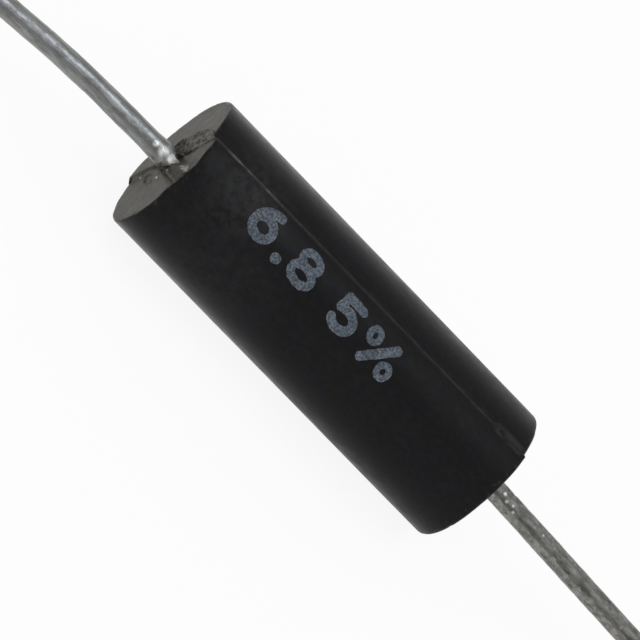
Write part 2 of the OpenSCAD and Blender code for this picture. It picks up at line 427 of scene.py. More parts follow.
def torn_material():
    """Moulding that broke away: rough, with painted shade that makes it darkest beside the lead, where the
    hollow is deepest.
    """
    n = Nodes("torn_moulding")
    lumps = n.ramp(n.noise(5.0, 5.0, 0.7), 0.4, 0.6)
    deep = n.mix(lumps, (0.011, 0.0105, 0.0085), (0.088, 0.085, 0.074))
    shallow = n.mix(lumps, (0.03, 0.0285, 0.025), (0.15, 0.145, 0.134))
    # Painted shade: the darker colours beside the lead, deep in the hollow
    beside_lead = n.ramp_mm(n.towards(n.ragged(3.0, 0.5), ACROSS), 0.62, 0.95, 1.0, 0.0)
    n.set(Base_Color=n.mix(beside_lead, shallow, deep), Roughness=0.65, IOR=1.22)
    n.set(Normal=n.bump(n.noise(5.0, 4.0, 0.7), 0.03, 0.5))
    return n.material


def smear_highlight_places():
    """Places along the smear of solder and its painted highlight, each across the face, up it, and an inner
    and outer radius.
    """
    across, down, half_width = SOLDER_SMEAR_HIGHLIGHT
    for step in np.linspace(down[0], down[-1], 11):
        radius = float(np.interp(step, down, half_width))
        yield float(np.interp(step, down, across)), -step, 0.2 * radius, radius


def face_material():
    """The moulding's end faces, duller and greyer than its barrel, with solder smeared on the left one and
    painted pale as its highlight.
    """
    n = Nodes("moulding_end_face")
    ragged = n.ragged(4.0, 0.5)

    def near(places):
        """1 near any of some places on the left end face."""
        share = 0.0
        for across, up, inner, outer in places:
            share = n.maths("MAXIMUM", n.near_point(on_left_face(across, up), inner, outer, ragged), share)
        return share

    clouds = n.ramp(n.noise(1.9, 6.0, 0.7), 0.34, 0.66)
    colour = n.mix(clouds, (0.0095, 0.0095, 0.0035), (0.049, 0.046, 0.03))
    reddish = n.ramp(n.noise(1.4, 4.0, 0.65), 0.4, 0.6, 0.0, 0.6)
    colour = n.cover(colour, (0.042, 0.028, 0.023), reddish)
    specks = n.ramp(n.noise(4.5, 5.0, 0.75), 0.54, 0.7, 0.0, 0.8)
    colour = n.cover(colour, (0.006, 0.0058, 0.0045), specks)
    # Painted shade darkening the long pit beside the lead
    colour = n.cover(colour, (0.012, 0.01, 0.009), near(PIT_SHADE_PLACES), 0.6)
    # Painted light: a paler patch on the web that lifts the shade falling on it
    colour = n.cover(colour, (0.048, 0.046, 0.038), near(WEB_LIGHT_PLACES), 0.6)
    # Solder smear painted pale: real solder, with its highlight painted into the colour
    uneven = n.ramp(n.noise(5.0, 4.0, 0.7), 0.32, 0.6, 0.1, 1.0)
    colour = n.cover(colour, (0.36, 0.355, 0.34), near(smear_highlight_places()), uneven)
    grain = n.noise(16.0, 4.0, 0.65)
    lumps = n.bump(n.noise(2.6, 5.0, 0.72), 0.03, 0.9)
    n.set(Base_Color=colour, Roughness=n.ramp(grain, 0.3, 0.7, 0.34, 0.44), IOR=1.19)
    n.set(Normal=n.bump(grain, 0.008, 0.5, lumps))
    return n.material


def wire_material(side, name, light, dark, pit, painted_light_stripes, roughness, painted_glints, streak_cells, painted_highlights):
    """Solder-coated wire, with streaks along it, darker pits, and painted light: small painted glints,
    painted bands of highlight and shade on the shown side, and round painted highlights.

    A band is its turn from the shown side, how square to that the surface is at its edge and
    middle, and its two colours. A round painted highlight is its place along the lead, turn, radius and
    brightness.
    """
    n = Nodes(name)
    streaks = n.noise(streak_cells, 4.0, 0.6)
    blotches = n.noise((2.1, 4.2, 4.2), 5.0, 0.7)
    colour = n.mix(n.ramp(streaks, 0.38, 0.66), dark, light)
    colour = n.cover(colour, pit, n.ramp(blotches, 0.53, 0.68))
    normal = n.add("ShaderNodeNewGeometry").outputs["Normal"]
    patches = n.ramp(n.noise((2.0, 4.0, 4.0), 4.0, 0.65), 0.36, 0.62)
    # Painted highlight and painted shade: bands of paler and darker colour along the shown side
    for turn, edge, middle, low, high in painted_light_stripes:
        painted_stripe = n.ramp(n.towards(normal, around(SHOWN_ANGLE + turn)), edge, middle)
        colour = n.cover(colour, n.mix(patches, low, high), painted_stripe)
    # Painted glints: small pale specks painted into the colour
    painted_glint = n.ramp(n.noise((5.5, 6.5, 6.5), 2.0), 0.7, 0.76, 0.0, painted_glints)
    colour = n.cover(colour, (0.7, 0.71, 0.71), painted_glint)
    # Round painted highlights: near-white spots painted at listed places on the lead
    uneven = n.ramp(n.noise(7.0, 3.0, 0.7), 0.32, 0.52, 0.35, 1.0)
    for along, turn, radius, bright in painted_highlights:
        painted_spot = n.near_point(on_lead(side, along, turn), 0.2 * radius, radius)
        colour = n.cover(colour, (0.86, 0.86, 0.85), painted_spot, bright, uneven)
    n.set(Metallic=1.0, Base_Color=colour)
    n.set(Roughness=n.ramp(streaks, 0.3, 0.7, roughness - 0.07, roughness + 0.1))
    n.set(Normal=n.bump(n.noise(16.0), 0.01, 0.45, n.bump(blotches, 0.022, 0.5)))
    return n.material


def left_wire_material():
    """The left lead: bright, with long streaks, and round painted highlights on its solder by the moulding.
    """
    return wire_material(
        -1,
        "left_tinned_wire",
        light=(0.285, 0.292, 0.28),
        dark=(0.172, 0.175, 0.166),
        pit=(0.135, 0.135, 0.127),
        painted_light_stripes=[
            (11.5, 0.81, 0.98, (0.19, 0.197, 0.201), (0.326, 0.338, 0.35)),
            (-12.0, 0.975, 0.995, (0.128, 0.132, 0.13), (0.17, 0.175, 0.173)),
        ],
        roughness=0.25,
        painted_glints=0.4,
        streak_cells=(0.8, 7.0, 7.0),
        painted_highlights=[
            (0.9, 17.0, 0.15, 1.0),
            (0.55, 17.0, 0.26, 1.0),
            (0.28, 20.0, 0.45, 0.5),
            (0.2, 12.0, 0.18, 0.8),
        ],
    )


def right_wire_material():
    """The right lead: duller and more pitted, with a few small round painted highlights."""
    return wire_material(
        1,
        "right_tinned_wire",
        light=(0.29, 0.286, 0.266),
        dark=(0.145, 0.143, 0.132),
        pit=(0.08, 0.078, 0.07),
        painted_light_stripes=[
            (20.0, 0.88, 0.985, (0.11, 0.11, 0.1), (0.195, 0.195, 0.185)),
            (-7.0, 0.972, 0.994, (0.08, 0.078, 0.07), (0.15, 0.148, 0.136)),
        ],
        roughness=0.42,
        painted_glints=0.25,
        streak_cells=(4.0, 4.5, 4.5),
        painted_highlights=[
            (1.07, 25.0, 0.1, 0.6),
            (1.29, 3.0, 0.09, 0.6),
            (1.56, 11.0, 0.08, 0.5),
            (1.71, -10.0, 0.09, 0.5),
            (0.8, -28.0, 0.09, 0.4),
            (3.05, 26.0, 0.07, 0.5),
        ],
    )


def solder_material():
    """Solder of the small drops on the left end face."""
    n = Nodes("solder")
    patches = n.ramp(n.noise(5.0, 4.0, 0.65), 0.35, 0.65)
    n.set(Metallic=1.0, Base_Color=n.mix(patches, (0.2, 0.2, 0.195), (0.5, 0.51, 0.5)), Roughness=0.6)
    n.set(Normal=n.bump(n.noise(9.0), 0.02, 0.6))
    return n.material


def ink_material():
    """Grey-blue ink, grainy and worn in patches."""
    n = Nodes("printed_ink")
    grain = n.ramp(n.noise(12.0, 3.0, 0.75), 0.41, 0.58)
    patches = n.ramp(n.noise(2.2, 4.0, 0.65), 0.36, 0.62)
    ink = n.mix(patches, (0.064, 0.086, 0.117), (0.118, 0.144, 0.18))
    n.set(Base_Color=n.mix(grain, (0.022, 0.03, 0.042), ink), Roughness=0.6)
    n.set(Normal=n.bump(grain, 0.006, 0.5))
    return n.material


def inner_material(name, light, dark, metallic, roughness, per_mm):
    """Finish of a piece that is sealed in the moulding."""
    n = Nodes(name)
    grain = n.noise(per_mm, 4.0)
    n.set(Base_Color=n.mix(n.ramp(grain, 0.35, 0.7), dark, light), Metallic=metallic)
    n.set(Roughness=n.ramp(grain, 0.3, 0.7, roughness - 0.06, roughness + 0.08))
    n.set(Normal=n.bump(grain, 0.006, 0.4))
    return n.material


# Where the leads run


def lead_slopes(side):
    """A lead's slope where it comes out and its slope after the bend, in radians."""
    return math.radians(LEADS[side]["slope"]), math.radians(LEADS[side]["last"])


def bend_end(side):
    """Where a lead's bend ends: from the barrel's middle along its axis, and off that axis."""
    lead = LEADS[side]
    slope, last = lead_slopes(side)
    x = BODY_HALF + lead["straight"] * math.cos(slope) + lead["bend_r"] * (math.sin(last) - math.sin(slope))
    off = lead["offset"] + lead["straight"] * math.sin(slope)
    off += lead["bend_r"] * (math.cos(slope) - math.cos(last))
    return x, off


def lead_total(side):
    """Length of a lead from where it comes out to its tip."""
    lead = LEADS[side]
    slope, last = lead_slopes(side)
    x, _ = bend_end(side)
    return lead["straight"] + lead["bend_r"] * (last - slope) + (TIP_X - x) / math.cos(last)


def bend_direction():
    """Unit vector, square to the barrel, towards the side the leads bend to, so that a tip lies low."""
    x, off = bend_end(-1)
    _, last = lead_slopes(-1)
    tip_off = off + (TIP_X - x) * math.tan(last)
    down = min(1.0, (BODY_R - LEAD_R) / tip_off)
    return np.array([0.0, -math.sqrt(1.0 - down * down), -down])


BEND = bend_direction()


def exit_centre(x):
    """How far a lead's middle line is off the barrel's axis, at a place along the barrel."""
    lead = LEADS[1 if x > 0 else -1]
    return (lead["offset"] + (abs(x) - BODY_HALF) * math.tan(math.radians(lead["slope"]))) * BEND


def off_axis(x, off):
    """Points or directions from their part along the barrel and their part towards the bend."""
    return np.stack([x, off * BEND[1], off * BEND[2]], axis=-1)


def lead_line(side, along):
    """Points on a lead's middle line and its directions there, at lengths from where it comes out."""
    lead = LEADS[side]
    slope, last = lead_slopes(side)
    arc = lead["bend_r"] * (last - slope)
    direction = slope + np.clip((along - lead["straight"]) / arc, 0.0, 1.0) * (last - slope)
    before = np.minimum(along, lead["straight"])
    after = np.maximum(along - lead["straight"] - arc, 0.0)
    x = before * math.cos(slope) + lead["bend_r"] * (np.sin(direction) - math.sin(slope))
    y = before * math.sin(slope) + lead["bend_r"] * (math.cos(slope) - np.cos(direction))
    x = BODY_HALF + x + after * math.cos(last)
    y = lead["offset"] + y + after * math.sin(last)
    return off_axis(side * x, y), off_axis(side * np.cos(direction), np.sin(direction))


def on_lead(side, along, turn):
    """The place on a lead's surface at a length along it and a turn from the shown side."""
    middle, _ = lead_line(side, np.array([along]))
    return tuple(middle[0] + LEAD_R * around(SHOWN_ANGLE + turn))


# The moulding


def seam_angles():
    """Angles round the barrel, closer together by the two parting lines."""
    seams = (PARTING_ANGLE, PARTING_ANGLE + 180.0)
    near = np.concatenate([np.arange(-2.4, 2.41, 0.2) + PARTING_ANGLE + turn for turn in (0.0, 180.0)])
    far = [a for a in np.arange(0.0, 360.0, 1.0) if min(abs(a - seam) for seam in seams) > 2.7]
    return np.sort(np.concatenate([far, near]))


def end_rings(side):
    """Rings of one end, from the rim inwards: those that take the marks of the mould, and the plain rest.

    A ring is its distance from the barrel's middle, its radius and its share of the lead's offset.
    """
    rim = RIM_R[side]
    marked = []
    for k in range(RIM_STEPS + 1):
        a = math.radians(90.0 * k / RIM_STEPS)
        marked.append((BODY_HALF - rim + rim * math.sin(a), BODY_R - rim + rim * math.cos(a), 0.0))
    for r in np.linspace(BODY_R - rim, COLLAR_R, FACE_RINGS[side])[1:]:
        marked.append((BODY_HALF, r, float(smooth(-r, -1.6, -COLLAR_R))))
    height = COLLAR_LEFT[side]
    for k in range(1, COLLAR_STEPS + 1):
        share = k / COLLAR_STEPS
        flare = COLLAR_R + (COLLAR_TOP_R - COLLAR_R) * (1.0 - (1.0 - share) ** 2)
        marked.append((BODY_HALF + height * share**1.6, flare, 1.0))
    bore = LEAD_R + MOULD_GAP
    collar_top = [(BODY_HALF + height, r, 1.0) for r in np.linspace(COLLAR_TOP_R, bore, 4)[1:]]
    marked.append(collar_top[0])
    passage_end = BODY_HALF - END_WALL + WELD_LENGTH + MOULD_GAP
    passage = [(x, bore, 1.0) for x in np.linspace(BODY_HALF + height, passage_end, 8)[1:]]
    cap_face = BODY_HALF - END_WALL + MOULD_GAP
    room = [
        (cap_face, WELD_R + MOULD_GAP, 1.0),
        (cap_face, CAP_R + MOULD_GAP, 0.0),
        (TAIL_ROOM_OUT, CAP_R + MOULD_GAP, 0.0),
        (TAIL_ROOM_OUT, CAP_R + WIRE_D + 2 * MOULD_GAP, 0.0),
        (TAIL_ROOM_IN, CAP_R + WIRE_D + 2 * MOULD_GAP, 0.0),
        (TAIL_ROOM_IN, CORE_R + WIRE_D + 2 * MOULD_GAP, 0.0),
    ]
    plain = collar_top[1:] + passage + room
    return [[(side * x, r, offset) for x, r, offset in rings] for rings in (marked, plain)]


def moulding_rings():
    """Rings from the room's left part, out over the barrel and in again, and which of them are marked."""
    barrel_left = -BODY_HALF + RIM_R[-1]
    barrel_right = BODY_HALF - RIM_R[1]
    barrel = [(x, BODY_R, 0.0) for x in np.linspace(barrel_left, barrel_right, BARREL_RINGS)[1:-1]]
    left, left_plain = end_rings(-1)
    right, right_plain = end_rings(1)
    rings = left_plain[::-1] + left[::-1] + barrel + right + right_plain
    marked = np.zeros(len(rings), bool)
    marked[len(left_plain):len(rings) - len(right_plain)] = True
    return rings, marked


def plain_points(rings):
    """The moulding's points before any marks: a row for each ring, a column for each angle."""
    dirs = around(seam_angles())
    rows = []
    for x, r, offset in rings:
        row = dirs * r + exit_centre(x) * offset
        row[:, 0] = x
        rows.append(row)
    return np.array(rows)


def end_slope(points, side, rear):
    """How far a mould half's end face stands out at each of its points, beyond a square end.

    Both halves are longest by the parting line, as they draw from the mould.
    """
    away = np.abs(points @ PARTING_NORMAL) / BODY_R
    draft = smooth(-away, -1.0, 0.0)
    if side > 0:
        return 0.07 + 0.02 * draft if rear else 0.045 * draft + 0.03 * smooth(away, 0.7, 1.0)
    across, up = face_place(points)
    tilt = points @ around(PARTING_ANGLE) / BODY_R
    if rear:
        worn_corner = smooth(-across, 1.36, 1.62) * smooth(up, 1.5, 1.9)
        return 0.085 * draft + 0.03 * tilt * draft - 0.13 * worn_corner
    face = 0.05 + 0.07 * bump_at(across, -0.75, 0.4) - 0.04 * bump_at(across, 0.5, 0.35)
    fillet = bump_at(away, 0.0, 0.07) * smooth(-across, 0.95, 1.25)
    fillet *= smooth(-np.hypot(across, up), -2.6, -2.3)
    return face + 0.03 * tilt * draft + 0.07 * fillet


def front_share(points, radius):
    """1 on the front mould half, which has the printed value, and 0 on the rear one, past a jagged step."""
    across, up = face_place(points)
    inside_rim = radius < 2.6
    left_end = points[..., 0] < -BODY_HALF + END_ZONE
    jag = 0.02 * rough(points, 0.12, 3)
    worn_step = 0.19 * smooth(-across, 0.3, 0.8) * left_end * inside_rim
    front = smooth(points @ PARTING_NORMAL + jag * inside_rim, -0.018 - worn_step, 0.018)
    beside_lead = smooth(across, -0.5, -0.4) * smooth(-across, 0.2, 0.32) * smooth(up, -0.6, -0.3)
    return front * (1.0 - beside_lead * left_end)


def torn_share(points):
    """1 where the rear half's left end face broke away beside the lead, and 0 elsewhere."""
    across, up = face_place(points)
    far_edge = np.interp(across, *TORN_EDGE) + 0.24 * rough(points, 0.2, 13)
    rear = smooth(-(points @ PARTING_NORMAL), -0.03, 0.02)
    return smooth(far_edge - up, 0.0, 0.26) * rear * smooth(across, 0.3, 0.42) * (points[..., 0] < 0)


def shape_left_face(points):
    """Marks on the left end face, as lengths along the barrel, plus is outwards."""
    across, up = face_place(points)
    lift = 0.006 * rough(points, 0.5, 5)
    # Torn hollow beside the lead: deep at the lead, almost flush by the rim and by the parting line
    outer_part = smooth(across, 0.65, 1.1)
    by_parting = smooth(points @ PARTING_NORMAL, -0.45, -0.05)
    deep = 0.13 - 0.085 * outer_part + (0.035 + 0.045 * outer_part) * by_parting
    squashed = np.stack([across, 0.45 * up, np.zeros_like(up)], axis=-1)
    lumps = 0.085 * rough(squashed, 0.22, 11) + 0.05 * rough(squashed, 0.1, 17)
    lift += torn_share(points) * (-deep + (1.0 - 0.4 * outer_part) * lumps)
    # Long shallow pit beside the lead
    pit = np.exp(-(((across + 0.98) / 0.2) ** 2) - ((up - 0.38) / 0.6) ** 2)
    pit += 0.15 * rough(points, 0.16, 15)
    lift += -0.05 * smooth(pit, 0.3, 0.5) + 0.02 * smooth(pit, 0.6, 0.9) + 0.008 * bump_at(pit, 0.2, 0.1)
    # Groove along the left of the web that runs from the lead to the rim of the shown side
    groove = bump_at(across, -0.44, 0.05) * smooth(-up, -0.9, -0.2) * (1.0 - 0.7 * smooth(-up, 0.4, 1.4))
    web = smooth(across, -0.44, -0.3) * smooth(-across, -0.14, -0.02) * smooth(-up, -0.3, 0.0)
    web_height = 0.035 - 0.02 * smooth(-up, 0.4, 2.3)
    lift += -0.025 * groove + web_height * web + 0.022 * web * rough(squashed, 0.16, 19)
    return lift


def break_share(points):
    """1 where the flash broke out of the barrel near its right end, and 0 elsewhere."""
    x = points[..., 0]
    return smooth(x, 6.0, 6.25) * smooth(-x, -7.38, -7.2) * (points[..., 2] > 0)


def barrel_lift(points):
    """How far the flash, its break and the mould's faint waves lift the barrel's skin."""
    broken = break_share(points)
    # Noise along each line of flash has to be the same all across it
    line = points.copy()
    line[..., 1:] = np.sign(points[..., 2:]) * 3.0
    seam_side = np.where(points[..., 2] > 0, 1.0, -1.0)
    from_crest = points @ PARTING_NORMAL + math.radians(FLASH_CREST) * BODY_R * seam_side
    from_crest += 0.016 * rough(line, 0.35, 25)
    flash = np.exp(-((from_crest / (0.034 + 0.01 * broken)) ** 2))
    height = FLASH_HEIGHT * np.clip(0.75 + 1.1 * rough(line, 0.9, 21), 0.1, 1.35)
    height = height * (1.0 - broken) - broken * 0.055 * (1.0 + 0.6 * rough(line, 0.3, 23))
    waves = 0.004 * rough(points, 1.6, 41) + 0.0025 * rough(points, 0.25, 43)
    return flash * height + waves


def moulding_points(rings, marked):
    """The moulding's points, with its two halves out of step, the flash and the marks on its ends."""
    plain = plain_points(rings)
    marked = marked[:, None]
    radius = np.hypot(plain[..., 1], plain[..., 2])
    on_barrel = (np.abs(plain[..., 0]) < BODY_HALF - 0.01) & marked
    on_face = ~on_barrel & marked
    outwards = np.zeros_like(plain)
    outwards[..., 1:] = plain[..., 1:] / np.maximum(radius, 1e-6)[..., None]
    points = plain + outwards * (barrel_lift(plain) * on_barrel)[..., None]
    front = front_share(plain, radius)
    x = points[..., 0] + (2.0 * front - 1.0) * MOULD_SHIFT / 2 * marked
    for side in (-1, 1):
        slope = end_slope(points, side, False) * front + end_slope(points, side, True) * (1.0 - front)
        x += side * np.where(marked & (side * points[..., 0] > BODY_HALF - END_ZONE), slope, 0.0)
    rim_fade = smooth(-radius, -BODY_R + 0.02, -BODY_R + 0.2)
    left_marks = shape_left_face(points) * rim_fade
    right_marks = 0.012 * rough(points, 0.4, 77) * rim_fade
    x -= np.where(on_face & (points[..., 0] < 0), left_marks, 0.0)
    x += np.where(on_face & (points[..., 0] > 0), right_marks, 0.0)
    in_end_zone = np.abs(points[..., 0]) > BODY_HALF - END_ZONE
    at_rim = bump_at(radius, BODY_R - 0.05, 0.12) * in_end_zone * marked
    x -= np.sign(x) * at_rim * 0.05 * np.clip(rough(points, 0.3, 81) - 0.05, 0.0, 1.0)
    points[..., 0] = x
    return points


def build_moulding():
    rings, marked = moulding_rings()
    points = moulding_points(rings, marked)
    rows, columns = points.shape[:2]
    faces = [f[::-1] for f in grid_faces(rows, columns, closed_rows=True)]
    piece = make_mesh("moulding", points, faces, moulding_material(), 50)
    for material in (face_material(), flash_material(), torn_material()):
        piece.data.materials.append(material)
    worn_rim = 0.04 + 0.13 * np.clip(rough(points, 0.22, 95) + 0.15, 0.0, 1.0)
    on_end = np.array([abs(x) > BODY_HALF - 0.02 for x, _, _ in rings])[:, None]
    on_end = on_end & (np.hypot(points[..., 1], points[..., 2]) < BODY_R - worn_rim)
    torn = torn_share(points) + 0.7 * rough(points, 0.13, 97) + 0.3 * noise(points, 0.035, 99) > 0.5
    angles = seam_angles()
    from_seam = angles - PARTING_ANGLE - 180.0 * (angles > 180.0)
    broken = break_share(points).max(axis=1) > 0.5
    for polygon in piece.data.polygons:
        row, column = divmod(polygon.vertices[0], columns)
        if on_end[row, column]:
            polygon.material_index = TORN if torn[row, column] else END_FACE
        elif marked[row]:
            first, last = BREAK_LIP if broken[row] and angles[column] < 180.0 else FLASH_WORN
            if first < from_seam[column] < last:
                polygon.material_index = FLASH
    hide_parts("moulded_body")


# The leads


def lead_stations(side):
    """Lengths along a lead, closer together near the moulding."""
    total = lead_total(side)
    near = [np.arange(-END_WALL, -0.05, 0.1), np.arange(-0.05, 0.4, 0.02), np.arange(0.4, 8.5, 0.05)]
    return np.concatenate([*near, np.arange(8.5, total, 0.3), [total]])


def lead_radius(side, along):
    """A lead's radius before its lumps: the weld's taper, the wire, and the left lead's cuff of solder."""
    weld = WELD_R - (WELD_R - LEAD_R) * smooth(along, -END_WALL, -END_WALL + WELD_LENGTH)
    radius = np.where(along < 0, weld, LEAD_R)
    if side < 0:
        cuff_end = COLLAR_HEIGHT + CUFF_LENGTH
        cuff = (along > -0.06) * (1.0 - smooth(along, cuff_end - 0.7, cuff_end + 0.1))
        radius += 0.7 * (CUFF_R - LEAD_R) * cuff
    return radius


def solder_foot(along, turned):
    """How far solder spreads from the left lead's foot, most of it on the shown side."""
    foot = np.clip(1.0 - along / 0.3, 0.0, 1.0) ** 1.5 * (along > -0.06)
    return (0.01 + 0.33 * bump_at(turned, 13.0, 12.0)) * foot[:, None]


def lead_lumps(side, along, surface):
    """Lumps and pits in a lead's solder, from just outside the moulding to short of the tip."""
    stretched = surface * np.array([0.45, 1.0, 1.0])
    if side < 0:
        lumps = 0.022 * rough(stretched, 0.45, 61) + 0.006 * rough(surface, 0.12, 63) - 0.006
        lumps += 0.015 * bump_at(along, 0.75, 0.45)[:, None] * rough(surface, 0.35, 65)
    else:
        lumps = 0.012 * rough(stretched, 0.45, 71) + 0.012 * rough(surface, 0.16, 73) - 0.014
        lumps -= 0.016 * smooth(noise(surface, 0.22, 75), 0.45, 0.8)
    total = lead_total(side)
    free = smooth(along, 0.25, 0.6) * (1.0 - smooth(along, total - 3.0, total))
    return lumps * free[:, None]


def tube(surface, ends):
    """Points and faces of rings of points, closed at a point at each end."""
    rows, columns = surface.shape[:2]
    count = rows * columns
    faces = grid_faces(rows, columns)
    for i in range(columns):
        k = (i + 1) % columns
        faces.append((k, i, count))
        faces.append((count - columns + i, count - columns + k, count + 1))
    return np.concatenate([surface.reshape(-1, 3), np.array(ends)]), faces


def build_lead(side, name, node, material):
    along = lead_stations(side)
    middle, tangent = lead_line(side, along)
    level = np.cross(tangent, BEND)
    level /= np.linalg.norm(level, axis=1)[:, None]
    up = np.cross(level, tangent)
    turn = (np.arange(LEAD_SEGMENTS) * 2.0 * math.pi / LEAD_SEGMENTS)[:, None]
    ring = np.cos(turn) * level[:, None] + np.sin(turn) * up[:, None]
    radius = lead_radius(side, along)[:, None]
    turned = turn_from_shown(ring)
    if side < 0:
        radius = radius + solder_foot(along, turned)
        aside = smooth(along, -0.1, 0.0) * (0.035 + 0.006 * along) * smooth(-along, -14.0, -8.0)
        middle += aside[:, None] * ACROSS
    surface = middle[:, None] + ring * radius[..., None]
    surface += ring * lead_lumps(side, along, surface)[..., None]
    points, faces = tube(surface, [middle[0], middle[-1] + tangent[-1] * 0.02])
    if side < 0:
        faces = [f[::-1] for f in faces]
    piece = make_mesh(name, points, faces, material, 40)
    if side < 0:
        piece.data.materials.append(torn_material())
        # The dark torn-moulding finish painted on the foot of the left lead, up to the heights in CLIMB
        climb = np.interp(turned, *CLIMB) + 0.03 * rough(surface, 0.12, 85)
        for polygon in piece.data.polygons:
            row, column = divmod(polygon.vertices[0], LEAD_SEGMENTS)
            if row < len(along) and along[row] < climb[row, column]:
                polygon.material_index = 1
    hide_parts(node)


def build_solder_drops():
    """Small beads of solder, half sunk in the left end face."""
    points = []
    faces = []
    for across, up, half_width, half_length, height in SOLDER_DROPS:
        first = len(points)
        for j in range(DROP_STEPS + 1):
            polar = math.pi * j / DROP_STEPS
            for i in range(DROP_SEGMENTS):
                turn = 2.0 * math.pi * i / DROP_SEGMENTS
                place_across = across + half_width * math.sin(polar) * math.cos(turn)
                place = on_left_face(place_across, up + half_length * math.cos(polar))
                place[0] += height * math.sin(polar) * math.sin(turn)
                points.append(place)
        faces += [tuple(first + k for k in f) for f in grid_faces(DROP_STEPS + 1, DROP_SEGMENTS)]
    points = np.array(points)
    lift = end_slope(points, -1, False) + shape_left_face(points) - MOULD_SHIFT / 2
    lumps = 0.03 * rough(points, 0.2, 51)
    points[:, 0] -= lift
    points[:, 1:] += (lumps[:, None] * ACROSS)[:, 1:]
    make_mesh("solder_drops", points, faces, solder_material())


# The printed value


def arc(cx, cy, rx, ry, start, end):
    """Points on part of an ellipse, angles in degrees."""
    angles = [math.radians(a) for a in np.linspace(start, end, 18)]
    return [(cx + rx * math.cos(a), cy + ry * math.sin(a)) for a in angles]


def oval(cx, cy, rx, ry):
    return arc(cx, cy, rx, ry, 0, 360)


def glyphs():
    """Each sign's width and its strokes in millimetres; a stroke is its half width and its points."""
    h = GLYPH_HEIGHT
    bold = STROKE_R
    less_bold = 0.9 * STROKE_R
    fine = 0.7 * STROKE_R
    six = [
        (bold, oval(0.44, 0.34 * h, 0.42, 0.33 * h)),
        (bold, arc(0.86, 0.36 * h, 0.84, 0.64 * h, 96, 182)),
    ]
    eight = [
        (less_bold, oval(0.44, 0.26 * h, 0.44, 0.27 * h)),
        (less_bold, oval(0.44, 0.78 * h, 0.38, 0.24 * h)),
    ]
    five = [
        (bold, [(0.8, h), (0.12, h), (0.07, 0.58 * h)]),
        (bold, [(0.07, 0.58 * h)] + arc(0.4, 0.32 * h, 0.43, 0.32 * h, 112, -145)),
    ]
    percent = [
        (fine, oval(0.22, 0.79 * h, 0.21, 0.22 * h)),
        (fine, oval(1.24, 0.21 * h, 0.21, 0.22 * h)),
        (bold, [(0.3, 0.0), (1.16, h)]),
    ]
    return {
        "6": (0.88, six),
        "8": (0.88, eight),
        "5": (0.84, five),
        ".": (0.04, [(bold * 1.1, [(0.0, 0.0), (0.04, 0.0)])]),
        " ": (0.1, []),
        "%": (1.44, percent),
    }


def print_strokes(text):
    """All the strokes of a line of signs, in millimetres from its lower left corner."""
    table = glyphs()
    strokes = []
    x = 0.0
    for sign in text:
        width, lines = table[sign]
        for half_width, line in lines:
            strokes.append((half_width, [(x + px, py) for px, py in line]))
        x += width + GLYPH_GAP
    return strokes


def stroke_depth(grid, strokes):
    """How deep each grid point is inside the nearest stroke, below 0 outside them all."""
    best = np.full(grid.shape[:2], -9.0)
    for half_width, line in strokes:
        for (ax, ay), (bx, by) in zip(line, line[1:]):
            d = np.array([bx - ax, by - ay])
            rel = grid - np.array([ax, ay])
            t = np.clip((rel @ d) / max(d @ d, 1e-12), 0.0, 1.0)
            best = np.maximum(best, half_width - np.linalg.norm(rel - t[..., None] * d, axis=-1))
    return best


def contour(gx, gy, field):
    """Polygons that cover where the field is above 0, with edges at its zero line."""
    rows, columns = field.shape
    points = []
    index = {}

    def corner(j, i):
        key = ("c", j, i)
        if key not in index:
            index[key] = len(points)
            points.append((gx[j, i], gy[j, i]))
        return index[key]

    def crossing(here, there):
        key = ("e", min(here, there), max(here, there))
        if key not in index:
            t = field[here] / (field[here] - field[there])
            index[key] = len(points)
            points.append((gx[here] + t * (gx[there] - gx[here]), gy[here] + t * (gy[there] - gy[here])))
        return index[key]

    faces = []
    inside = field > 0
    for j in range(rows - 1):
        for i in range(columns - 1):
            cells = [(j, i), (j, i + 1), (j + 1, i + 1), (j + 1, i)]
            flags = [bool(inside[c]) for c in cells]
            if not any(flags):
                continue
            if flags in ([True, False, True, False], [False, True, False, True]):
                for k in range(4):
                    if flags[k]:
                        before, here, after = cells[k - 1], cells[k], cells[(k + 1) % 4]
                        faces.append((crossing(before, here), corner(*here), crossing(here, after)))
                continue
            face = []
            for k in range(4):
                here, after = cells[k], cells[(k + 1) % 4]
                if flags[k]:
                    face.append(corner(*here))
                if flags[k] != flags[(k + 1) % 4]:
                    face.append(crossing(here, after))
            faces.append(tuple(face))
    return points, faces


def boundary_edges(faces):
    """Edges that only one face has, in that face's order."""
    edges = {}
    for face in faces:
        for edge in zip(face, face[1:] + face[:1]):
            edges[edge] = True
    return [(a, b) for a, b in edges if (b, a) not in edges]


def build_marking():
    """The printed value, as a thin closed layer of ink on the barrel."""
    strokes = print_strokes("6.8 5%")
    margin = 2 * STROKE_R
    width = max(p[0] for _, line in strokes for p in line)
    columns = np.arange(-margin, width + margin, INK_CELL)
    rows = np.arange(-margin, GLYPH_HEIGHT + margin, INK_CELL)
    gx, gy = np.meshgrid(columns, rows)
    flat = np.stack([gx, gy, np.zeros_like(gx)], axis=-1)
    field = stroke_depth(flat[..., :2], strokes) + 0.024 * rough(flat, 0.12, 91)
    points, faces = contour(gx, gy, field)
    points = np.array(points)
    rise = points[:, 1] + PRINT_SLOPE * points[:, 0]
    outwards = around(SHOWN_ANGLE + PRINT_TURN + np.degrees(rise / BODY_R))
    top = outwards * (BODY_R + INK_HEIGHT)
    low = outwards * (BODY_R - INK_SINK)
    top[:, 0] = PRINT_START_X + points[:, 0]
    low[:, 0] = top[:, 0]
    count = len(points)
    solid = list(faces) + [tuple(i + count for i in f[::-1]) for f in faces]
    solid += [(b, a, a + count, b + count) for a, b in boundary_edges(faces)]
    make_mesh("printed_value", np.concatenate([top, low]), solid, ink_material(), 40)


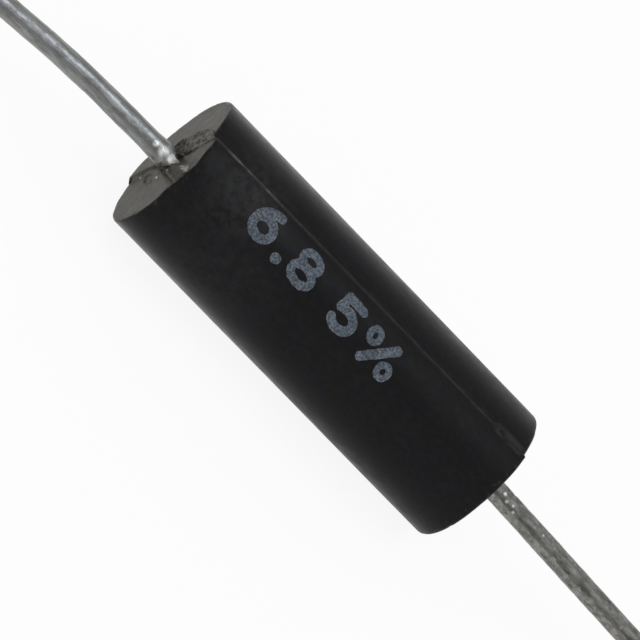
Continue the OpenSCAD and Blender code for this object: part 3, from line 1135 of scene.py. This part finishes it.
# Camera, floor and light


def picture_axes():
    """The picture's right and up, and the way from the barrel to the camera."""
    axis, shown, across = [Vector(v) for v in (ALONG, SHOWN, ACROSS)]
    turn = math.radians(END_TURN)
    along = axis * math.cos(turn) + shown * math.sin(turn)
    back = shown * math.cos(turn) - axis * math.sin(turn)
    lean = math.radians(AXIS_IN_PICTURE)
    right = along * math.cos(lean) + across * math.sin(lean)
    up = across * math.cos(lean) - along * math.sin(lean)
    return right, up, back


def build_camera():
    right, up, back = picture_axes()
    data = bpy.data.cameras.new("camera")
    data.sensor_width = SENSOR_MM
    data.lens = FOCAL_PX * SENSOR_MM / PICTURE_SIDE_PX
    data.clip_start = 0.01
    data.clip_end = 10.0
    middle = PICTURE_SIDE_PX / 2
    aim = right * (middle - BODY_CENTRE_PX[0]) / PX_PER_MM + up * (BODY_CENTRE_PX[1] - middle) / PX_PER_MM
    place = (aim + back * FOCAL_PX / PX_PER_MM) * MM
    camera = bpy.data.objects.new("camera", data)
    turn = Matrix((right, up, back)).transposed().to_4x4()
    camera.matrix_world = Matrix.Translation(place) @ turn
    bpy.context.scene.collection.objects.link(camera)
    bpy.context.scene.camera = camera


def floor_material():
    """Pale matt floor that keeps the shadow, and looks nearly white to the camera and in reflections."""
    n = Nodes("pale_floor")
    colour = n.mix(n.noise(0.02), (0.93, 0.93, 0.93), (0.96, 0.96, 0.96))
    n.set(Base_Color=colour, Roughness=0.9, Specular_IOR_Level=0.0)
    white = n.add("ShaderNodeEmission")
    rays = n.add("ShaderNodeLightPath").outputs
    seen = n.maths("MAXIMUM", rays["Is Camera Ray"], rays["Is Glossy Ray"])
    seen = n.maths("MAXIMUM", seen, rays["Is Transmission Ray"])
    sources = (n.maths("MULTIPLY", seen, 0.9), n.shader.outputs["BSDF"], white.outputs["Emission"])
    shown = n.add("ShaderNodeMixShader", *sources)
    n.feed(n.tree.nodes["Material Output"].inputs["Surface"], shown.outputs["Shader"])
    return n.material


def build_floor():
    half = 1.5
    z = -BODY_R * MM
    mesh = bpy.data.meshes.new("floor")
    corners = [(-half, -half, z), (half, -half, z), (half, half, z), (-half, half, z)]
    mesh.from_pydata(corners, [], [(0, 1, 2, 3)])
    mesh.materials.append(floor_material())
    floor = bpy.data.objects.new("floor", mesh)
    bpy.context.scene.collection.objects.link(floor)


def build_world():
    """A pale tent: white near the horizon, dimmer overhead, and plain white to the camera."""
    world = bpy.data.worlds.new("tent")
    bpy.context.scene.world = world
    world.use_nodes = True
    nodes = world.node_tree.nodes
    links = world.node_tree.links
    split = nodes.new("ShaderNodeSeparateXYZ")
    links.new(nodes.new("ShaderNodeTexCoord").outputs["Generated"], split.inputs["Vector"])
    dimmer = nodes.new("ShaderNodeMapRange")
    dimmer.interpolation_type = "SMOOTHSTEP"
    for key, value in {"From Min": 0.15, "From Max": 0.65, "To Min": 1.0, "To Max": 0.75}.items():
        dimmer.inputs[key].default_value = value
    links.new(split.outputs["Z"], dimmer.inputs["Value"])
    level = nodes.new("ShaderNodeMix")
    links.new(nodes.new("ShaderNodeLightPath").outputs["Is Camera Ray"], level.inputs["Factor"])
    links.new(dimmer.outputs["Result"], level.inputs["A"])
    level.inputs["B"].default_value = 1.0
    background = nodes["Background"]
    links.new(level.outputs["Result"], background.inputs["Strength"])
    background.inputs["Color"].default_value = (1.0, 1.0, 1.0, 1.0)


def build_lamp(name, place, size, watts, colour):
    data = bpy.data.lights.new(name, "AREA")
    data.shape = "DISK"
    data.size = size
    data.energy = watts
    data.color = colour
    lamp = bpy.data.objects.new(name, data)
    lamp.location = place
    lamp.rotation_mode = "QUATERNION"
    lamp.rotation_quaternion = Vector(place).to_track_quat("Z", "Y")
    bpy.context.scene.collection.objects.link(lamp)


bpy.context.scene.view_settings.view_transform = "Standard"

build_camera()
build_floor()
build_world()
build_lamp("overhead", (0.15, -0.1, 0.6), size=0.36, watts=0.44, colour=(0.91, 0.96, 1.0))

build_moulding()
build_lead(-1, "left_wire", "left_lead", left_wire_material())
build_lead(1, "right_wire", "right_lead", right_wire_material())
build_solder_drops()
build_marking()

# Finishes of the sealed pieces: name, light and dark colour, metallic, roughness and cells per millimetre
CAP_STEEL = ((0.72, 0.72, 0.7), (0.5, 0.5, 0.48), 1.0, 0.3, (1, 6, 6))
INNER = {
    "ceramic_core": ("fired_ceramic", (0.86, 0.84, 0.78), (0.74, 0.71, 0.64), 0.0, 0.6, 3),
    "resistance_wire": ("resistance_alloy", (0.62, 0.58, 0.52), (0.4, 0.37, 0.33), 1.0, 0.35, 6),
    "left_end_cap": ("left_cap_steel", *CAP_STEEL),
    "right_end_cap": ("right_cap_steel", *CAP_STEEL),
}
for node, finish in INNER.items():
    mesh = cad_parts[node].data
    mesh.materials.clear()
    mesh.materials.append(inner_material(*finish))

bpy.context.view_layer.update()
